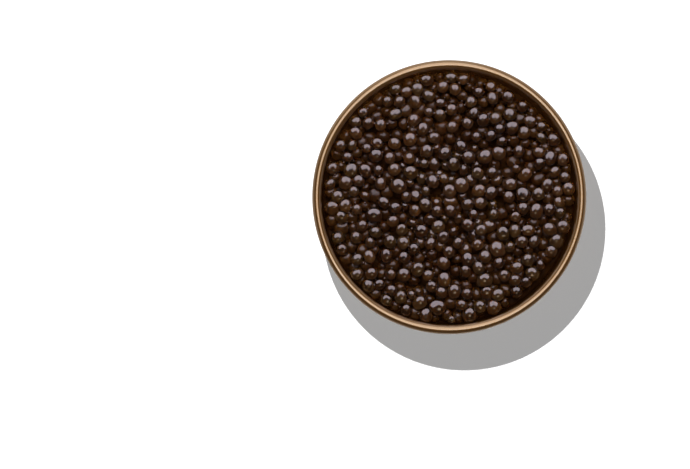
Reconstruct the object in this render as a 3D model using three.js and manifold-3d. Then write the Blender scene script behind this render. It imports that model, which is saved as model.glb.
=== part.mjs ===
// Shallow round tin of fish roe, open, seen filled almost to its rolled rim.
// Millimetres, +Z up, the foot ring of the tin stands on z = 0 and the axis is x = y = 0.
import * as THREE from "three";
import Module from "manifold-3d";
import { mergeVertices } from "three/addons/utils/BufferGeometryUtils.js";

// Tin: one sheet drawn into a shallow cup, its edge rolled outward
const TIN_HEIGHT = 18.0;
const RIM_RADIUS = 35.0;
const CURL_RADIUS = 1.2;
const SHEET = 0.4;
const WALL_FOOT_RADIUS = 32.6;
const CORNER_HEIGHT = 2.2;
const FOOT_OUTER = 29.8;
const FOOT_INNER = 28.8;
const PANEL_RADIUS = 28.0;
const PANEL_RISE = 0.6;
const CURL_END_ANGLE = -120;
const TIN_SIDES = 64;

// Roe: a bed with the eggs that show, lower than wide, as the lid has pressed them
const GAP = 0.3;
const ROE_RADIUS = 32.5;
const ROE_CROWN = 16.8;
const ROE_FALL = 0.4;
const ROE_LEAN = 0.9;
const BED_DEPTH = 2.3;
const BED_SIDES = 48;
const EGG_MEAN_RADIUS = 1.63;
const EGG_SPREAD = 0.3;
const EGG_FLATNESS = 0.74;
const EGG_SIDES = 6;
const EGG_ROOT = 0.5;
const LEAST_SHOWN = 0.3;
const LOWER_EGGS = 44;
const FUSE_TOLERANCE = 0.03;
const LAYERS = [
  { count: 204, depth: 0.0, band: 1.4 },
  { count: 210, depth: 1.6, band: 1.8 },
  { count: 230, depth: 3.6, band: 1.8 },
];
const SLUMPS = [
  { angle: -40, width: 22, depth: 1.9 },
  { angle: 58, width: 18, depth: 0.8 },
  { angle: 185, width: 30, depth: 0.6 },
];
const START_MARGIN = 0.4;
const START_JITTER = 1.6;
const SETTLE_STEPS = 160;
const SETTLE_SPREAD = 1.0003;
const SETTLE_LIFT = 0.02;
const EGG_SOFTNESS = 0.94;
const SEED = 5;

const CURL_CENTRE_RADIUS = RIM_RADIUS - CURL_RADIUS;
const CURL_CENTRE_HEIGHT = TIN_HEIGHT - CURL_RADIUS;
const WALL_TOP_INNER = CURL_CENTRE_RADIUS - CURL_RADIUS;

// Points on the curl's arc, from one angle to another in degrees
function curlArc(radius, from, to, steps) {
  const points = [];
  for (let i = 0; i <= steps; i += 1) {
    const angle = THREE.MathUtils.degToRad(from + ((to - from) * i) / steps);
    const across = CURL_CENTRE_RADIUS + radius * Math.cos(angle);
    points.push(new THREE.Vector2(across, CURL_CENTRE_HEIGHT + radius * Math.sin(angle)));
  }
  return points;
}

// Inner radius of the wall at a height, straight between the corner and the curl
function wallInner(height) {
  const share = (height - CORNER_HEIGHT) / (CURL_CENTRE_HEIGHT - CORNER_HEIGHT);
  const foot = WALL_FOOT_RADIUS - SHEET;
  return foot + (WALL_TOP_INNER - foot) * share;
}

function turned(profile, sides) {
  const geometry = new THREE.LatheGeometry(profile, sides);
  geometry.rotateX(Math.PI / 2);
  geometry.deleteAttribute("normal");
  geometry.deleteAttribute("uv");
  return mergeVertices(geometry, 1e-4);
}

// Half section of the tin, up the outside, round the curl and down the inside
function tinProfile() {
  const outside = [
    new THREE.Vector2(0, PANEL_RISE),
    new THREE.Vector2(PANEL_RADIUS, PANEL_RISE),
    new THREE.Vector2(FOOT_INNER, 0),
    new THREE.Vector2(FOOT_OUTER, 0),
    new THREE.Vector2(FOOT_OUTER + 1.7, 0.6),
    new THREE.Vector2(WALL_FOOT_RADIUS, CORNER_HEIGHT),
  ];
  const underCurl = curlArc(CURL_RADIUS - SHEET, 180, CURL_END_ANGLE, 6);
  const overCurl = curlArc(CURL_RADIUS, CURL_END_ANGLE, 180, 10);
  const inside = [
    new THREE.Vector2(WALL_FOOT_RADIUS - SHEET, CORNER_HEIGHT),
    new THREE.Vector2(FOOT_OUTER + 1.4, 0.9),
    new THREE.Vector2(FOOT_OUTER - 0.1, SHEET),
    new THREE.Vector2(FOOT_INNER + 0.1, SHEET),
    new THREE.Vector2(PANEL_RADIUS + 0.1, PANEL_RISE + SHEET),
    new THREE.Vector2(0, PANEL_RISE + SHEET),
  ];
  return [...outside, ...underCurl, ...overCurl, ...inside];
}

// Height of the levelled surface, which falls to the wall and leans to the +Y side
function level(x, y) {
  return ROE_CROWN - (ROE_FALL * (x * x + y * y)) / ROE_RADIUS ** 2 - (ROE_LEAN * y) / ROE_RADIUS;
}

// How far out the eggs reach, as the roe has drawn back from the wall in places
function heapEdge(x, y) {
  const angle = THREE.MathUtils.radToDeg(Math.atan2(y, x));
  let edge = ROE_RADIUS;
  for (const slump of SLUMPS) {
    const off = ((angle - slump.angle + 540) % 360) - 180;
    edge -= slump.depth * Math.exp(-((off / slump.width) ** 2));
  }
  return edge;
}

function bedHeight(y) {
  return ROE_CROWN - BED_DEPTH - (ROE_LEAN * y) / ROE_RADIUS;
}

// Body of the roe up to a plane that leans as the level does
function bedGeometry() {
  const floor = PANEL_RISE + SHEET + GAP;
  const top = ROE_CROWN - BED_DEPTH;
  const profile = [
    new THREE.Vector2(0, floor),
    new THREE.Vector2(FOOT_OUTER - 0.3, floor),
    new THREE.Vector2(wallInner(CORNER_HEIGHT) - GAP, CORNER_HEIGHT + 0.5),
    new THREE.Vector2(wallInner(top - 1) - GAP, top),
    new THREE.Vector2(0, top),
  ];
  const geometry = turned(profile, BED_SIDES);
  const points = geometry.attributes.position;
  for (let i = 0; i < points.count; i += 1) {
    if (points.getZ(i) > top - 0.1) points.setZ(i, bedHeight(points.getY(i)));
  }
  return geometry;
}

// Repeatable random numbers from 0 to 1
function randomSource(seed) {
  let state = seed;
  return () => {
    state = (state * 1664525 + 1013904223) % 4294967296;
    return state / 4294967296;
  };
}

// Each layer starts on an even spiral, a little shaken; heights are those of round eggs
function scatterEggs() {
  const random = randomSource(SEED);
  const eggs = [];
  for (const layer of LAYERS) {
    const turn = 2 * Math.PI * random();
    for (let i = 0; i < layer.count; i += 1) {
      const shakeX = START_JITTER * (2 * random() - 1);
      const shakeY = START_JITTER * (2 * random() - 1);
      const sink = layer.band * random();
      const bell = (random() + random() + random()) / 1.5 - 1;
      const radius = EGG_MEAN_RADIUS * (1 + EGG_SPREAD * bell);
      const distance = (ROE_RADIUS - START_MARGIN) * Math.sqrt((i + 0.5) / layer.count);
      const angle = turn + i * Math.PI * (3 - Math.sqrt(5));
      const x = distance * Math.cos(angle) + shakeX;
      const y = distance * Math.sin(angle) + shakeY;
      const z = ROE_CROWN / EGG_FLATNESS - layer.depth - sink - radius;
      eggs.push({ x, y, z, radius, layer });
    }
  }
  return eggs;
}

function closePairs(eggs) {
  const pairs = [];
  for (let i = 0; i < eggs.length; i += 1) {
    for (let j = i + 1; j < eggs.length; j += 1) {
      const [a, b] = [eggs[i], eggs[j]];
      const reach = a.radius + b.radius + 0.8;
      if ((a.x - b.x) ** 2 + (a.y - b.y) ** 2 + (a.z - b.z) ** 2 < reach * reach) {
        pairs.push([a, b]);
      }
    }
  }
  return pairs;
}

function shift(egg, move, sign) {
  egg.x += sign * move[0];
  egg.y += sign * move[1];
  egg.z += sign * move[2];
}

// Eggs that overlap push each other off, inside the wall and under the lid's level
function settleEggs(eggs) {
  let pairs = [];
  for (let step = 0; step < SETTLE_STEPS; step += 1) {
    if (step % 6 === 0) pairs = closePairs(eggs);
    const moves = pairs.map(([a, b]) => {
      const d = [a.x - b.x, a.y - b.y, a.z - b.z];
      const length = Math.sqrt(d[0] * d[0] + d[1] * d[1] + d[2] * d[2]) + 1e-9;
      const over = EGG_SOFTNESS * (a.radius + b.radius) - length;
      const push = over > 0 ? (0.4 * over) / length : 0;
      return d.map((value) => value * push);
    });
    pairs.forEach(([a], n) => shift(a, moves[n], 1));
    pairs.forEach(([, b], n) => shift(b, moves[n], -1));
    for (const egg of eggs) {
      egg.x *= SETTLE_SPREAD;
      egg.y *= SETTLE_SPREAD;
      const distance = Math.sqrt(egg.x * egg.x + egg.y * egg.y);
      const reach = heapEdge(egg.x, egg.y) - egg.radius;
      const inward = Math.min(1, reach / Math.max(distance, 1e-9));
      egg.x *= inward;
      egg.y *= inward;
      const highest = level(egg.x, egg.y) / EGG_FLATNESS - egg.layer.depth - egg.radius;
      egg.z = Math.min(highest, Math.max(highest - egg.layer.band, egg.z + SETTLE_LIFT));
    }
  }
  return eggs;
}

// One egg, flattened: a faceted dome that stands in the bed
function eggDome(egg, turn) {
  const root = bedHeight(egg.y) - EGG_ROOT;
  const shoulder = (egg.z + egg.radius * 0.65) * EGG_FLATNESS;
  const profile = [
    new THREE.Vector2(0, root),
    new THREE.Vector2(egg.radius * 0.93, root),
    new THREE.Vector2(egg.radius * 0.76, shoulder),
    new THREE.Vector2(0, (egg.z + egg.radius) * EGG_FLATNESS),
  ];
  const geometry = turned(profile, EGG_SIDES);
  geometry.rotateZ(turn);
  geometry.translate(egg.x, egg.y, 0);
  return geometry;
}

const wasm = await Module();
wasm.setup();

function solid(geometry) {
  const mesh = new wasm.Mesh({
    numProp: 3,
    vertProperties: Float32Array.from(geometry.attributes.position.array),
    triVerts: Uint32Array.from(geometry.index.array),
  });
  return new wasm.Manifold(mesh);
}

function geometryOf(body) {
  const mesh = body.getMesh();
  const geometry = new THREE.BufferGeometry();
  geometry.setAttribute("position", new THREE.BufferAttribute(mesh.vertProperties, 3));
  geometry.setIndex(new THREE.BufferAttribute(mesh.triVerts, 1));
  geometry.computeVertexNormals();
  return geometry;
}

// The bed, every egg of the top layer and the largest of the next, fused into one body
function roeGeometry() {
  const random = randomSource(SEED + 1);
  const eggs = settleEggs(scatterEggs()).sort((a, b) => b.radius - a.radius);
  const shown = eggs.filter((egg) => {
    return (egg.z + egg.radius * 0.7) * EGG_FLATNESS > bedHeight(egg.y) + LEAST_SHOWN;
  });
  const top = shown.filter((egg) => egg.layer === LAYERS[0]);
  const lower = shown.filter((egg) => egg.layer !== LAYERS[0]).slice(0, LOWER_EGGS);
  const domes = [...top, ...lower].map((egg) => solid(eggDome(egg, random() * Math.PI)));
  const fused = wasm.Manifold.union([solid(bedGeometry()), ...domes]);
  return geometryOf(fused.simplify(FUSE_TOLERANCE));
}

const tinMaterial = new THREE.MeshStandardMaterial({
  name: "lacquered_metal",
  color: 0x9c7442,
  metalness: 0.9,
  roughness: 0.35,
});
const roeMaterial = new THREE.MeshStandardMaterial({
  name: "roe",
  color: 0x35220f,
  metalness: 0,
  roughness: 0.25,
});

const tin = new THREE.Mesh(turned(tinProfile(), TIN_SIDES), tinMaterial);
tin.name = "tin";

const caviar = new THREE.Mesh(roeGeometry(), roeMaterial);
caviar.name = "caviar";

const group = new THREE.Group();
group.add(tin, caviar);
export default group;
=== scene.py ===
import math

import bmesh
import bpy
import numpy as np
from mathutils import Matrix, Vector


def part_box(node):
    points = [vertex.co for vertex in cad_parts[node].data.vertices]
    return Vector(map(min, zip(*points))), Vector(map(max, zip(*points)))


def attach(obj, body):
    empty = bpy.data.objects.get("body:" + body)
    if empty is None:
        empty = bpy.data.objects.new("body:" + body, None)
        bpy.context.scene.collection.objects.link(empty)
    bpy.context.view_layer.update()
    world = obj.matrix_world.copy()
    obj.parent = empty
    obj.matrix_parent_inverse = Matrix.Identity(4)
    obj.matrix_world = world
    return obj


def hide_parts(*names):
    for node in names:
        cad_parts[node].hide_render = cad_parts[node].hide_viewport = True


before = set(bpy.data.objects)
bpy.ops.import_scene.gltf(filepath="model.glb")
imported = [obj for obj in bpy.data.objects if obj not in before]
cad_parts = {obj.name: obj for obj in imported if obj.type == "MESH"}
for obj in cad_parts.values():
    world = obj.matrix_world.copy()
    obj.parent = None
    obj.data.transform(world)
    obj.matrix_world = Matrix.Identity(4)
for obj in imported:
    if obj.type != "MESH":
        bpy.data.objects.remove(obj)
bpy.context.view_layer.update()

MM = 0.001

# Tin, in millimetres, from the frame's box and the sheet's own sizes
TIN_LOW, TIN_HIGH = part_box("tin")
TIN_HEIGHT = TIN_HIGH.z / MM
RIM_RADIUS = TIN_HIGH.x / MM
CURL_RADIUS = 1.2
SHEET = 0.4
WALL_FOOT_RADIUS = 32.6
CORNER_HEIGHT = 2.2
FOOT_OUTER = 29.8
FOOT_INNER = 28.8
PANEL_RADIUS = 28.0
PANEL_RISE = 0.6
CURL_END_ANGLE = -120
TIN_SIDES = 360
CURL_CENTRE_RADIUS = RIM_RADIUS - CURL_RADIUS
CURL_CENTRE_HEIGHT = TIN_HEIGHT - CURL_RADIUS
WALL_TOP_INNER = CURL_CENTRE_RADIUS - CURL_RADIUS

# Roe: layers of soft eggs, lower than wide, over a wet core
GAP = 0.3
ROE_RADIUS = 32.5
ROE_CROWN = 16.8
ROE_FALL = 0.4
ROE_LEAN = 0.9
EGG_MEAN_RADIUS = 1.63
EGG_SPREAD = 0.3
EGG_FLATNESS = 0.74
LAYERS = [
    {"count": 204, "depth": 0.0, "band": 1.4},
    {"count": 210, "depth": 1.6, "band": 1.8},
    {"count": 230, "depth": 3.6, "band": 1.8},
]
SLUMPS = [
    {"angle": -40, "width": 22, "depth": 1.9},
    {"angle": 58, "width": 18, "depth": 0.8},
    {"angle": 185, "width": 30, "depth": 0.6},
]
START_MARGIN = 0.4
START_JITTER = 1.6
SETTLE_STEPS = 160
SETTLE_SPREAD = 1.0003
SETTLE_LIFT = 0.02
EGG_SOFTNESS = 0.94
SEED = 5

# How the soft eggs press on each other, the wall and the lid
EGG_SWELL = 1.07
EGG_UNEVENNESS = 0.09
EGG_TALLNESS = 0.06
LOWER_EGG_TALLNESS = 0.5
TALLNESS_SPREAD = 0.26
PRESS_SHARPNESS = 14
LID_PRESS = 0.0
WALL_CLEARANCE = 0.06
DENTED_SHARE = 0.16
BARE_LOWER_EGGS = 36

# Photo frame: the rim's circle in pixels sets the scale and the camera's place
PHOTO_WIDTH = 690
PHOTO_HEIGHT = 469
RIM_PIXEL_X = 449.2
RIM_PIXEL_Y = 197.1
RIM_PIXEL_RADIUS = 137.1
LENS = 100
SENSOR = 36


# Camera, straight above the middle of the photo

def add_camera():
    pixel = RIM_RADIUS / RIM_PIXEL_RADIUS * MM
    data = bpy.data.cameras.new("camera")
    data.lens = LENS
    data.sensor_width = SENSOR
    data.clip_start = 0.01
    data.clip_end = 20
    camera = bpy.data.objects.new("camera", data)
    height = PHOTO_WIDTH * pixel * LENS / SENSOR + CURL_CENTRE_HEIGHT * MM
    x = (PHOTO_WIDTH / 2 - RIM_PIXEL_X) * pixel
    y = (RIM_PIXEL_Y - PHOTO_HEIGHT / 2) * pixel
    camera.location = (x, y, height)
    bpy.context.scene.collection.objects.link(camera)
    bpy.context.scene.camera = camera


# Mesh helpers

def make_piece(name, points, faces, node, material):
    mesh = bpy.data.meshes.new(name)
    mesh.from_pydata(np.asarray(points).tolist(), [], [tuple(face) for face in faces])
    mesh.update()
    mesh.polygons.foreach_set("use_smooth", np.ones(len(mesh.polygons), bool))
    piece = bpy.data.objects.new(name, mesh)
    bpy.context.scene.collection.objects.link(piece)
    mesh.materials.append(material)
    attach(piece, "root")
    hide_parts(node)
    return piece


def lathe(profile, sides):
    """Points and quads of a closed half section turned about the axis."""
    profile = np.array(profile)
    angles = np.arange(sides) * 2 * math.pi / sides
    ring = np.stack([np.cos(angles), np.sin(angles)], 1)
    points = []
    for across, height in profile:
        flat = ring * across
        points.append(np.column_stack([flat, np.full(sides, height)]))
    points = np.concatenate(points)
    faces = []
    for row in range(len(profile) - 1):
        for side in range(sides):
            after = (side + 1) % sides
            faces.append((row * sides + side, row * sides + after,
                          (row + 1) * sides + after, (row + 1) * sides + side))
    return points, faces


def close_poles(points, faces, rows, sides):
    """Caps the first and last ring with a fan to a point on the axis."""
    low = len(points)
    points = np.vstack([points, [0, 0, points[0][2]], [0, 0, points[-1][2]]])
    last = (rows - 1) * sides
    for side in range(sides):
        after = (side + 1) % sides
        faces.append((low, after, side))
        faces.append((low + 1, last + side, last + after))
    return points, faces


# Tin

def arc(centre, radius, start, end, steps):
    angles = np.radians(np.linspace(start, end, steps + 1))
    return [(centre[0] + radius * math.cos(a), centre[1] + radius * math.sin(a)) for a in angles]


def rounded(corner, before, after, radius, steps):
    """The corner of a path replaced by a curve that starts and ends radius away from it."""
    corner = np.array(corner)
    start = corner + radius * unit(np.array(before) - corner)
    end = corner + radius * unit(np.array(after) - corner)
    shares = np.linspace(0, 1, steps + 1)[:, None]
    curve = (1 - shares) ** 2 * start + 2 * shares * (1 - shares) * corner + shares**2 * end
    return [tuple(point) for point in curve]


def unit(vector):
    return vector / np.linalg.norm(vector)


def wall_inner(height):
    share = (height - CORNER_HEIGHT) / (CURL_CENTRE_HEIGHT - CORNER_HEIGHT)
    foot = WALL_FOOT_RADIUS - SHEET
    return foot + (WALL_TOP_INNER - foot) * share


def smooth_path(path, radii):
    """A path with each inner corner rounded by its own radius."""
    points = [path[0]]
    for before, corner, after, radius in zip(path, path[1:], path[2:], radii):
        points += rounded(corner, before, after, radius, 4)
    return points + [path[-1]]


def tin_profile():
    outside = [
        (0.4, PANEL_RISE),
        (PANEL_RADIUS, PANEL_RISE),
        (FOOT_INNER, 0),
        (FOOT_OUTER, 0),
        (FOOT_OUTER + 2.4, 0.35),
        (WALL_FOOT_RADIUS + 0.03, CORNER_HEIGHT + 0.6),
        (WALL_TOP_INNER + SHEET, CURL_CENTRE_HEIGHT),
    ]
    inside = [
        (WALL_TOP_INNER, CURL_CENTRE_HEIGHT),
        (WALL_FOOT_RADIUS - SHEET + 0.03, CORNER_HEIGHT + 0.6),
        (FOOT_OUTER + 2.1, 0.7),
        (FOOT_OUTER - 0.1, SHEET),
        (FOOT_INNER + 0.1, SHEET),
        (PANEL_RADIUS + 0.1, PANEL_RISE + SHEET),
        (0.4, PANEL_RISE + SHEET),
    ]
    centre = (CURL_CENTRE_RADIUS, CURL_CENTRE_HEIGHT)
    under_curl = arc(centre, CURL_RADIUS - SHEET, 180, CURL_END_ANGLE, 24)
    over_curl = arc(centre, CURL_RADIUS, CURL_END_ANGLE, 180, 40)
    outside = smooth_path(outside, [0.3, 0.25, 0.4, 0.9, 1.2])
    inside = smooth_path(inside, [1.2, 0.9, 0.4, 0.25, 0.3])
    return outside + under_curl[1:] + over_curl + inside[1:]


def build_tin(material):
    profile = tin_profile()
    points, faces = lathe(profile, TIN_SIDES)
    points, faces = close_poles(points, faces, len(profile), TIN_SIDES)
    return make_piece("tin_shell", points * MM, faces, "tin", material)


# Where the eggs lie: the rule that the solids follow too

def random_numbers(seed):
    state = seed
    while True:
        state = (state * 1664525 + 1013904223) % 4294967296
        yield state / 4294967296


def level(x, y):
    """Height of the levelled surface, which falls to the wall and leans to the far side."""
    return ROE_CROWN - ROE_FALL * (x**2 + y**2) / ROE_RADIUS**2 - ROE_LEAN * y / ROE_RADIUS


def heap_edge(angle):
    """How far out eggs reach, as the heap has drawn back from the wall in places."""
    edge = np.full(np.shape(angle), ROE_RADIUS)
    for slump in SLUMPS:
        off = (np.degrees(angle) - slump["angle"] + 180) % 360 - 180
        edge -= slump["depth"] * np.exp(-((off / slump["width"]) ** 2))
    return edge


def scatter_eggs():
    """Heights are worked out for round eggs and flattened at the end."""
    draw = random_numbers(SEED)
    rows = []
    for layer in LAYERS:
        turn = 2 * math.pi * next(draw)
        for i in range(layer["count"]):
            shake_x = START_JITTER * (2 * next(draw) - 1)
            shake_y = START_JITTER * (2 * next(draw) - 1)
            sink = layer["band"] * next(draw)
            bell = (next(draw) + next(draw) + next(draw)) / 1.5 - 1
            radius = EGG_MEAN_RADIUS * (1 + EGG_SPREAD * bell)
            distance = (ROE_RADIUS - START_MARGIN) * math.sqrt((i + 0.5) / layer["count"])
            angle = turn + i * math.pi * (3 - math.sqrt(5))
            x = distance * math.cos(angle) + shake_x
            y = distance * math.sin(angle) + shake_y
            z = ROE_CROWN / EGG_FLATNESS - layer["depth"] - sink - radius
            rows.append((x, y, z, radius, layer["depth"], layer["band"]))
    return np.array(rows)


def close_pairs(place, radius, reach):
    squared = ((place[:, None] - place[None]) ** 2).sum(2)
    near = squared < (radius[:, None] + radius[None] + reach) ** 2
    return np.where(np.triu(near, 1))


def settle_eggs(rows):
    place = rows[:, :3].copy()
    radius, depth, band = rows[:, 3], rows[:, 4], rows[:, 5]
    for step in range(SETTLE_STEPS):
        if step % 6 == 0:
            first, second = close_pairs(place, radius, 0.8)
        apart = place[first] - place[second]
        length = np.sqrt((apart**2).sum(1)) + 1e-9
        over = EGG_SOFTNESS * (radius[first] + radius[second]) - length
        move = apart * np.where(over > 0, 0.4 * over / length, 0)[:, None]
        np.add.at(place, first, move)
        np.add.at(place, second, -move)
        place += (0, 0, SETTLE_LIFT)
        place[:, :2] *= SETTLE_SPREAD
        distance = np.sqrt(place[:, 0] ** 2 + place[:, 1] ** 2)
        edge = heap_edge(np.arctan2(place[:, 1], place[:, 0]))
        inward = np.minimum(1, (edge - radius) / np.maximum(distance, 1e-9))
        place[:, :2] *= inward[:, None]
        highest = level(place[:, 0], place[:, 1]) / EGG_FLATNESS - depth - radius
        place[:, 2] = np.minimum(highest, np.maximum(highest - band, place[:, 2]))
    return place, radius


# One egg: a soft ball pressed flat where it meets its neighbours, the wall or the lid

def ball(subdivisions):
    shape = bmesh.new()
    bmesh.ops.create_icosphere(shape, subdivisions=subdivisions, radius=1)
    points = np.array([vert.co[:] for vert in shape.verts])
    faces = np.array([[vert.index for vert in face.verts] for face in shape.faces])
    shape.free()
    return points / np.linalg.norm(points, axis=1)[:, None], faces


def random_turn(random):
    axis, _ = np.linalg.qr(random.normal(size=(3, 3)))
    return axis * np.sign(np.linalg.det(axis))


def contacts(index, place, radius, neighbours):
    """Unit directions from an egg to what it touches, and how far off each flat lies."""
    centre = place[index]
    ways, reaches = [], []
    for other in neighbours[index]:
        gap = place[other] - centre
        length = np.linalg.norm(gap)
        ways.append(gap / length)
        reaches.append((length**2 + radius[index] ** 2 - radius[other] ** 2) / (2 * length))
    distance = math.hypot(centre[0], centre[1])
    outward = np.array([centre[0], centre[1], 0]) / distance
    ways.append(outward)
    reaches.append(wall_inner(centre[2] * EGG_FLATNESS) - WALL_CLEARANCE - distance)
    ways.append(np.array([0, 0, 1.0]))
    reaches.append(level(centre[0], centre[1]) / EGG_FLATNESS - LID_PRESS - centre[2])
    return np.array(ways), np.array(reaches)


def dent(around, random):
    """A shallow hollow somewhere in the upper side of a few eggs."""
    deep = random.uniform(0.06, 0.2) if random.random() < DENTED_SHARE else 0.0
    way = random.normal(size=3)
    way[2] = abs(way[2]) + 0.5
    facing = around @ unit(way)
    return 1 - deep * np.exp(-((1 - facing) / 0.12))


def egg_points(directions, index, place, radius, neighbours, random):
    turn = random_turn(random)
    around = directions @ turn
    stretch = turn @ np.diag(1 + random.normal(0, EGG_UNEVENNESS, 3)) @ turn.T
    own = radius[index] * np.linalg.norm(around @ stretch, axis=1) * dent(around, random)
    ways, reaches = contacts(index, place, radius, neighbours)
    facing = np.maximum(around @ ways.T, 0) / np.maximum(reaches, 0.3 * radius[index])
    pressed = (own**-PRESS_SHARPNESS + (facing**PRESS_SHARPNESS).sum(1)) ** (-1 / PRESS_SHARPNESS)
    return place[index] + around * pressed[:, None]


def stand_taller(points, tallness, random):
    """Stretches an egg downward from its top, so that its cap is more or less sharply rounded."""
    top = points[:, 2].max()
    points[:, 2] = top - (top - points[:, 2]) * math.exp(random.normal(tallness, TALLNESS_SPREAD))
    return points


def build_eggs(name, chosen, subdivisions, heap, random, material):
    directions, triangles = ball(subdivisions)
    points, faces, tones = [], [], []
    for count, index in enumerate(chosen):
        tallness = EGG_TALLNESS if index < LAYERS[0]["count"] else LOWER_EGG_TALLNESS
        points.append(stand_taller(egg_points(directions, index, *heap, random), tallness, random))
        faces.append(triangles + count * len(directions))
        tones.append(np.full(len(directions), random.random()))
    points = np.concatenate(points) * (1, 1, EGG_FLATNESS)
    piece = make_piece(name, points * MM, np.concatenate(faces), "caviar", material)
    tone = piece.data.attributes.new("tone", "FLOAT", "POINT")
    tone.data.foreach_set("value", np.concatenate(tones))
    return piece


# Beads of brine in the grooves where two eggs touch

BEAD_SHARE = 0.55
BEAD_RADIUS = (0.12, 0.4)
BEAD_SINK = 0.85


def bead_place(one, other, place, radius, bead):
    """The highest spot of a groove where a bead rests on both eggs, a little sunk in."""
    across = place[other] - place[one]
    share = radius[one] / (radius[one] + radius[other])
    up = unit(np.array([0, 0, 1.0]) - unit(across) * unit(across)[2])
    return place[one] + across * share + up * BEAD_SINK * math.sqrt(2 * EGG_MEAN_RADIUS * bead + bead**2)


def build_beads(heap, shown, random, material):
    place, radius, neighbours = heap
    directions, triangles = ball(3)
    points, faces = [], []
    for one in range(shown):
        for other in neighbours[one]:
            if other < one or other >= shown or random.random() > BEAD_SHARE:
                continue
            bead = BEAD_RADIUS[0] + (BEAD_RADIUS[1] - BEAD_RADIUS[0]) * random.random() ** 2
            centre = bead_place(one, other, place, radius, bead) * (1, 1, EGG_FLATNESS)
            faces.append(triangles + len(points) * len(directions))
            points.append(centre + directions * bead)
    return make_piece("brine_beads", np.concatenate(points) * MM, np.concatenate(faces), "caviar", material)


# All of the caviar

def build_caviar(materials):
    random = np.random.default_rng(SEED)
    place, radius = settle_eggs(scatter_eggs())
    radius = radius * EGG_SWELL
    first, second = close_pairs(place, radius, 0.2)
    neighbours = [[] for _ in place]
    for a, b in zip(first, second):
        neighbours[a].append(b)
        neighbours[b].append(a)
    bare = LAYERS[0]["count"] + BARE_LOWER_EGGS
    shown = LAYERS[0]["count"] + LAYERS[1]["count"]
    # Lower eggs get the two duller copies of the egg material: partly brine over them, partly painted shade.
    kinds = np.array_split(random.permutation(bare), 4) + np.array_split(np.arange(bare, shown), 2)
    names = ("eggs_dark", "eggs_brown", "eggs_olive", "eggs_amber", "eggs_wet_shaded", "eggs_hazy_shaded")
    heap = (place, radius, neighbours)
    pieces = [build_core(materials["brine"]), build_beads(heap, shown, random, materials["beads"])]
    for name, chosen in zip(names, kinds):
        pieces.append(build_eggs(name, chosen, 4, heap, random, materials[name]))
    # The deepest eggs take the darker, duller copy too: partly brine, partly painted shade.
    under = range(shown, len(place))
    pieces.append(build_eggs("eggs_under", under, 3, heap, random, materials["eggs_wet_shaded"]))
    return pieces


# Core under the eggs, with a wet, lumpy top

CORE_DEPTH = 4.1
CORE_RINGS = 64
CORE_SIDES = 240


def core_height(x, y):
    lumps = np.sin(x * 2.1 + 1.3 * np.sin(y * 0.9)) * np.sin(y * 1.9 + 1.1 * np.sin(x * 1.1))
    return level(x, y) - CORE_DEPTH + 0.45 * lumps


def build_core(material):
    edge = wall_inner(ROE_CROWN - CORE_DEPTH) - GAP
    floor = PANEL_RISE + SHEET + GAP
    sides = [(0.4, floor), (FOOT_OUTER - 0.3, floor), (wall_inner(CORNER_HEIGHT) - GAP, CORNER_HEIGHT + 0.5)]
    top = [(edge * (1 - ring / CORE_RINGS), 0) for ring in range(CORE_RINGS)]
    profile = sides + top
    points, faces = lathe(profile, CORE_SIDES)
    points, faces = close_poles(points, faces, len(profile), CORE_SIDES)
    upper = np.arange(len(points)) >= len(sides) * CORE_SIDES
    upper[-2] = False
    points[upper, 2] = core_height(points[upper, 0], points[upper, 1])
    return make_piece("caviar_core", points * MM, faces, "caviar", material)


# Materials

def new_material(name):
    material = bpy.data.materials.new(name)
    material.use_nodes = True
    nodes = material.node_tree.nodes
    return material, nodes, material.node_tree.links, nodes["Principled BSDF"]


def noise(nodes, links, vector, scale, detail=2.0):
    texture = nodes.new("ShaderNodeTexNoise")
    texture.inputs["Scale"].default_value = scale
    texture.inputs["Detail"].default_value = detail
    links.new(vector, texture.inputs["Vector"])
    return texture.outputs["Fac"]


def ramp(nodes, links, value, colours):
    """Colours spread evenly over the value's range."""
    node = nodes.new("ShaderNodeValToRGB")
    elements = node.color_ramp.elements
    while len(elements) < len(colours):
        elements.new(0.5)
    for number, colour in enumerate(colours):
        elements[number].position = number / (len(colours) - 1)
        elements[number].color = (*colour, 1)
    links.new(value, node.inputs["Fac"])
    return node.outputs["Color"]


def map_range(nodes, links, value, low, high, from_low=0.0, from_high=1.0):
    node = nodes.new("ShaderNodeMapRange")
    node.inputs["From Min"].default_value = from_low
    node.inputs["From Max"].default_value = from_high
    node.inputs["To Min"].default_value = low
    node.inputs["To Max"].default_value = high
    links.new(value, node.inputs["Value"])
    return node.outputs["Result"]


def bump(nodes, links, height, strength, distance):
    node = nodes.new("ShaderNodeBump")
    node.inputs["Strength"].default_value = strength
    node.inputs["Distance"].default_value = distance
    links.new(height, node.inputs["Height"])
    return node.outputs["Normal"]


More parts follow.
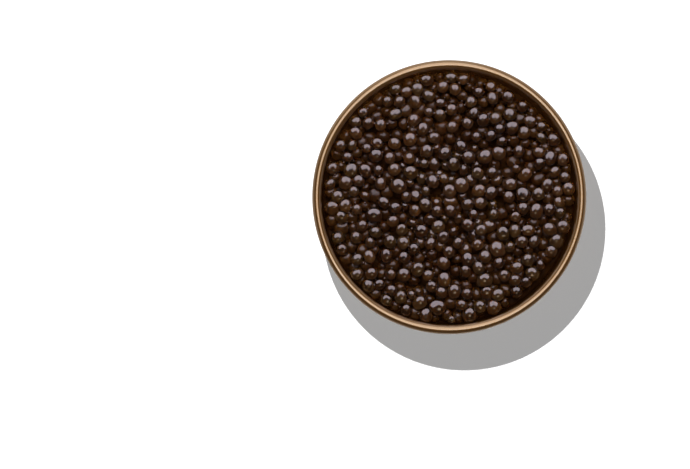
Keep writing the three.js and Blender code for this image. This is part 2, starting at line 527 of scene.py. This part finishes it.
def egg_material(name, colours, film_and_shade=0.0):
    """The number dulls and blurs the gloss of eggs lower in the heap: partly brine lying over them, partly painted
    shade where the eggs above shade them.
    """
    material, nodes, links, shader = new_material(name)
    place = nodes.new("ShaderNodeTexCoord").outputs["Object"]
    tone = nodes.new("ShaderNodeAttribute")
    tone.attribute_name = "tone"
    mottle = noise(nodes, links, place, 900, 3)
    share = nodes.new("ShaderNodeMath")
    share.operation = "MULTIPLY_ADD"
    share.inputs[1].default_value = 0.35
    links.new(mottle, share.inputs[0])
    links.new(map_range(nodes, links, tone.outputs["Fac"], -0.05, 0.75), share.inputs[2])
    links.new(ramp(nodes, links, share.outputs[0], colours), shader.inputs["Base Color"])
    shader.inputs["Subsurface Weight"].default_value = 1.0
    shader.inputs["Subsurface Radius"].default_value = (1.0, 0.7, 0.4)
    shader.inputs["Subsurface Scale"].default_value = 0.0006
    shader.inputs["Roughness"].default_value = 0.14 + 0.2 * film_and_shade
    shader.inputs["IOR"].default_value = 1.5
    shader.inputs["Specular IOR Level"].default_value = 0.5 - 0.8 * film_and_shade
    shader.inputs["Coat Weight"].default_value = 1.0 - 1.8 * film_and_shade
    shader.inputs["Coat Roughness"].default_value = 0.02
    skin = noise(nodes, links, place, 1400, 2)
    normal = bump(nodes, links, skin, 0.25 + film_and_shade, 0.00003 + 0.0004 * film_and_shade)
    links.new(normal, shader.inputs["Normal"])
    links.new(normal, shader.inputs["Coat Normal"])
    return material


def brine_material(name, colours, roughness, gloss):
    material, nodes, links, shader = new_material(name)
    place = nodes.new("ShaderNodeTexCoord").outputs["Object"]
    cloud = noise(nodes, links, place, 500, 2)
    links.new(ramp(nodes, links, cloud, colours), shader.inputs["Base Color"])
    shader.inputs["Roughness"].default_value = roughness
    shader.inputs["Specular IOR Level"].default_value = gloss
    ripple = noise(nodes, links, place, 700, 1)
    links.new(bump(nodes, links, ripple, 0.3, 0.0001), shader.inputs["Normal"])
    return material


def tin_material():
    material, nodes, links, shader = new_material("lacquered_tin")
    place = nodes.new("ShaderNodeTexCoord").outputs["Object"]
    cloud = noise(nodes, links, place, 60, 3)
    links.new(ramp(nodes, links, cloud, [(0.235, 0.109, 0.019), (0.285, 0.136, 0.025)]), shader.inputs["Base Color"])
    shader.inputs["Metallic"].default_value = 0.85
    shader.inputs["Coat Weight"].default_value = 1.0
    shader.inputs["Coat Roughness"].default_value = 0.14
    shader.inputs["Coat IOR"].default_value = 2.2
    grain = noise(nodes, links, place, 2500, 3)
    links.new(map_range(nodes, links, grain, 0.34, 0.46), shader.inputs["Roughness"])
    links.new(bump(nodes, links, grain, 0.15, 0.00003), shader.inputs["Normal"])
    return material


# Stage: an eight-sided softbox on the far side, a small lamp for the shadow and a pale floor

ROE_SOFTBOX = {"distance": 0.35, "tilt": 43, "high": 41, "wide": 43, "light": 3.1, "colour": (0.98, 0.87, 0.98)}
TIN_SOFTBOX = {"distance": 0.9, "tilt": 21, "high": 34, "wide": 20, "light": 2.1, "colour": (1.0, 0.92, 0.78)}
SURROUND_RADIUS = 1.4
SURROUND_HIGH = 0.7
GROUND_RING_HIGH = -0.45
GROUND_RING_LOW = -2.4
GROUND_RING_LIGHT = 0.8
SURROUND_PANELS = [
    {"from": -20, "to": 20, "light": 0.35},
    {"from": 20, "to": 75, "light": 0.6},
    {"from": 75, "to": 150, "light": 0.8},
    {"from": 150, "to": 200, "light": 0.4},
    {"from": 200, "to": 340, "light": 0.07},
]
LOWER_EDGE = [
    (-20, 0), (-19, 4), (-16, 1), (-14, 6), (-11, 2), (-9, 8), (-6, 3), (-4, 10), (-1, 5), (1, 13),
    (4, 6), (6, 9), (9, 2), (11, 8), (14, 1), (17, 6), (19, 0),
]
DOME_RADIUS = 2.0
ROE_DOME_LIGHT = 0.93
TIN_DOME_LIGHT = 0.05
ROE_DOME_COLOUR = (1.0, 0.76, 0.54)
TIN_DOME_COLOUR = (1.0, 0.52, 0.24)
GLINT_DISTANCE = 0.8
GLINT_TILT = -8
GLINT_SIDE = 5
GLINT_SPREAD = 3.5
GLINT_LIGHT = 3.0
GLOW_DISTANCE = 0.3
GLOW_TILT = 24
GLOW_SPREAD = 16
GLOW_LIGHT = 8.7
GLOW_COLOUR = (1.0, 0.80, 0.58)
LAMP_PLACE = (-71, 118, 268)
LAMP_POWER = 5.6
LAMP_RADIUS = 0.0015
FLOOR_FILL = 1.35
WORLD_LIGHT = 0.02


def lit_only(light, name, pieces, past_others=False):
    """Keeps a light to the pieces named; past others, nothing else shades them from it."""
    lit = bpy.data.collections.new(name)
    for piece in pieces:
        lit.objects.link(piece)
    light.light_linking.receiver_collection = lit
    if past_others:
        light.light_linking.blocker_collection = lit


def spread(angle):
    return math.tan(math.radians(angle))


def softbox_outline(high, wide):
    """Eight sides at a distance of 1, with a ragged edge on the side that is nearest the camera."""
    turns = [math.radians(-67.5 + 45 * side) for side in range(8)]
    corner = math.cos(math.pi / 8)
    corners = [(spread(wide) * math.cos(turn) / corner, spread(high) * math.sin(turn) / corner) for turn in turns]
    return corners + [(spread(at), -spread(high - depth)) for at, depth in LOWER_EDGE]


def glowing_panel(name, outline, distance, tilt, light, colour):
    tilt = math.radians(tilt)
    away = Vector((0, math.sin(tilt), math.cos(tilt)))
    along = Vector((0, math.cos(tilt), -math.sin(tilt)))
    points = [(away + Vector((x, 0, 0)) + along * y) * distance for x, y in outline]
    return glowing_mesh(name, [point[:] for point in points], [tuple(range(len(points)))], light, colour)


def glowing_mesh(name, points, faces, light, colour):
    """A lit surface that lets light from behind it through, so that none hides another."""
    mesh = bpy.data.meshes.new(name)
    mesh.from_pydata(points, [], faces)
    mesh.update()
    panel = bpy.data.objects.new(name, mesh)
    bpy.context.scene.collection.objects.link(panel)
    material = bpy.data.materials.new(name)
    material.use_nodes = True
    nodes = material.node_tree.nodes
    nodes.clear()
    glow = nodes.new("ShaderNodeEmission")
    glow.inputs["Color"].default_value = (*colour, 1)
    glow.inputs["Strength"].default_value = light
    clear = nodes.new("ShaderNodeBsdfTransparent")
    both = nodes.new("ShaderNodeAddShader")
    output = nodes.new("ShaderNodeOutputMaterial")
    links = material.node_tree.links
    links.new(glow.outputs[0], both.inputs[0])
    links.new(clear.outputs[0], both.inputs[1])
    links.new(both.outputs[0], output.inputs["Surface"])
    mesh.materials.append(material)
    panel.visible_camera = False
    panel.visible_shadow = False
    return panel


def add_softbox(name, box, pieces):
    outline = softbox_outline(box["high"], box["wide"])
    panel = glowing_panel(name, outline, box["distance"], box["tilt"], box["light"], box["colour"])
    lit_only(panel, name + "_lit", pieces)
    return panel


def add_inner_glow(pieces):
    """Warm light on the near flanks, as the softbox's light that has passed through each egg."""
    side = spread(GLOW_SPREAD)
    square = [(-side, -side), (side, -side), (side, side), (-side, side)]
    panel = glowing_panel("inner_glow", square, GLOW_DISTANCE, GLOW_TILT, GLOW_LIGHT, GLOW_COLOUR)
    panel.visible_glossy = False
    lit_only(panel, "inner_glow_lit", pieces, past_others=True)


def add_glint(pieces):
    """A small light just this side of the camera, which leaves a bright dot in each egg."""
    side, half = spread(GLINT_SIDE), spread(GLINT_SPREAD)
    square = [(side - half, -half), (side + half, -half), (side + half, half), (side - half, half)]
    panel = glowing_panel("glint", square, GLINT_DISTANCE, GLINT_TILT, GLINT_LIGHT, GLOW_COLOUR)
    panel.visible_diffuse = False
    lit_only(panel, "glint_lit", pieces)


def add_dome(name, light, colour, pieces):
    """A faint warm half dome, as light that has gone round among the eggs and the tin."""
    shape = bmesh.new()
    bmesh.ops.create_uvsphere(shape, u_segments=32, v_segments=16, radius=DOME_RADIUS)
    points = [vert.co[:] for vert in shape.verts]
    upper = [face for face in shape.faces if face.calc_center_median().z > 0]
    faces = [[vert.index for vert in face.verts] for face in upper]
    shape.free()
    dome = glowing_mesh(name, points, faces, light, colour)
    lit_only(dome, name + "_lit", pieces, past_others=True)
    return dome


def add_screen(name, ends, heights, light, pieces):
    """A curved upright screen round the tin, between two angles and two heights."""
    start, end = ends
    steps = (end - start) // 5
    points = []
    for step in range(steps + 1):
        turn = math.radians(start + (end - start) * step / steps)
        x, y = SURROUND_RADIUS * math.cos(turn), SURROUND_RADIUS * math.sin(turn)
        points += [(x, y, heights[0]), (x, y, heights[1])]
    faces = [(2 * step, 2 * step + 1, 2 * step + 3, 2 * step + 2) for step in range(steps)]
    panel = glowing_mesh(name, points, faces, light, TIN_SOFTBOX["colour"])
    lit_only(panel, name + "_lit", pieces)


def add_surround(pieces):
    """Faint screens that the rim reflects, and a brighter ring below them for the wall's outside."""
    for number, screen in enumerate(SURROUND_PANELS):
        ends = (screen["from"], screen["to"])
        add_screen(f"screen_{number}", ends, (GROUND_RING_HIGH, SURROUND_HIGH), screen["light"], pieces)
    add_screen("ground_ring", (0, 360), (GROUND_RING_LOW, GROUND_RING_HIGH), GROUND_RING_LIGHT, pieces)


def add_floor():
    mesh = bpy.data.meshes.new("floor")
    half = 1.5
    mesh.from_pydata([(-half, -half, 0), (half, -half, 0), (half, half, 0), (-half, half, 0)], [], [(0, 1, 2, 3)])
    mesh.update()
    floor = bpy.data.objects.new("floor", mesh)
    bpy.context.scene.collection.objects.link(floor)
    material, nodes, links, shader = new_material("floor")
    shader.inputs["Base Color"].default_value = (0.8, 0.8, 0.8, 1)
    shader.inputs["Roughness"].default_value = 0.9
    shader.inputs["Specular IOR Level"].default_value = 0.0
    mesh.materials.append(material)
    floor.visible_glossy = False
    return floor


def add_floor_lights(floor):
    """A small near lamp throws the tin's clear shadow, and an even light fills it."""
    data = bpy.data.lights.new("floor_lamp", "POINT")
    data.energy = LAMP_POWER
    data.shadow_soft_size = LAMP_RADIUS
    lamp = bpy.data.objects.new("floor_lamp", data)
    lamp.location = Vector(LAMP_PLACE) * MM
    fill = bpy.data.lights.new("floor_fill", "SUN")
    fill.energy = FLOOR_FILL
    fill.use_shadow = False
    even = bpy.data.objects.new("floor_fill", fill)
    for number, light in enumerate((lamp, even)):
        bpy.context.scene.collection.objects.link(light)
        lit_only(light, f"floor_lit_{number}", [floor])


def add_world():
    world = bpy.data.worlds.new("studio")
    world.use_nodes = True
    background = world.node_tree.nodes["Background"]
    background.inputs["Color"].default_value = (1.0, 1.0, 1.0, 1)
    background.inputs["Strength"].default_value = WORLD_LIGHT
    bpy.context.scene.world = world


add_camera()
bpy.context.scene.view_settings.view_transform = "Standard"

tin = build_tin(tin_material())
roe = build_caviar({
    "eggs_dark": egg_material("eggs_dark", [(0.0233, 0.0088, 0.0020), (0.0388, 0.0157, 0.0052)]),
    "eggs_brown": egg_material("eggs_brown", [(0.0349, 0.0141, 0.0032), (0.0546, 0.0248, 0.0091)]),
    "eggs_olive": egg_material("eggs_olive", [(0.0330, 0.0159, 0.0032), (0.0524, 0.0268, 0.0088)]),
    "eggs_amber": egg_material("eggs_amber", [(0.0378, 0.0144, 0.0030), (0.0640, 0.0289, 0.0080)]),
    # Duller copies for the lower eggs, the first also darker: partly brine over them, partly painted shade.
    "eggs_wet_shaded": egg_material("eggs_wet_shaded", [(0.0252, 0.0098, 0.0022), (0.0446, 0.0184, 0.0056)], film_and_shade=0.35),
    "eggs_hazy_shaded": egg_material("eggs_hazy_shaded", [(0.0330, 0.0138, 0.0030), (0.0543, 0.0237, 0.0069)], film_and_shade=0.28),
    "brine": brine_material("brine", [(0.0116, 0.0051, 0.0015), (0.0272, 0.0117, 0.0035)], 0.25, 0.02),
    "beads": brine_material("beads", [(0.0194, 0.0080, 0.0020), (0.0349, 0.0148, 0.0037)], 0.03, 0.9),
})

add_softbox("roe_softbox", ROE_SOFTBOX, roe).visible_diffuse = False
add_inner_glow(roe)
add_softbox("tin_softbox", TIN_SOFTBOX, [tin])
add_glint(roe)
add_surround([tin])
add_dome("roe_dome", ROE_DOME_LIGHT, ROE_DOME_COLOUR, roe).visible_glossy = False
add_dome("tin_dome", TIN_DOME_LIGHT, TIN_DOME_COLOUR, [tin])
add_floor_lights(add_floor())
add_world()
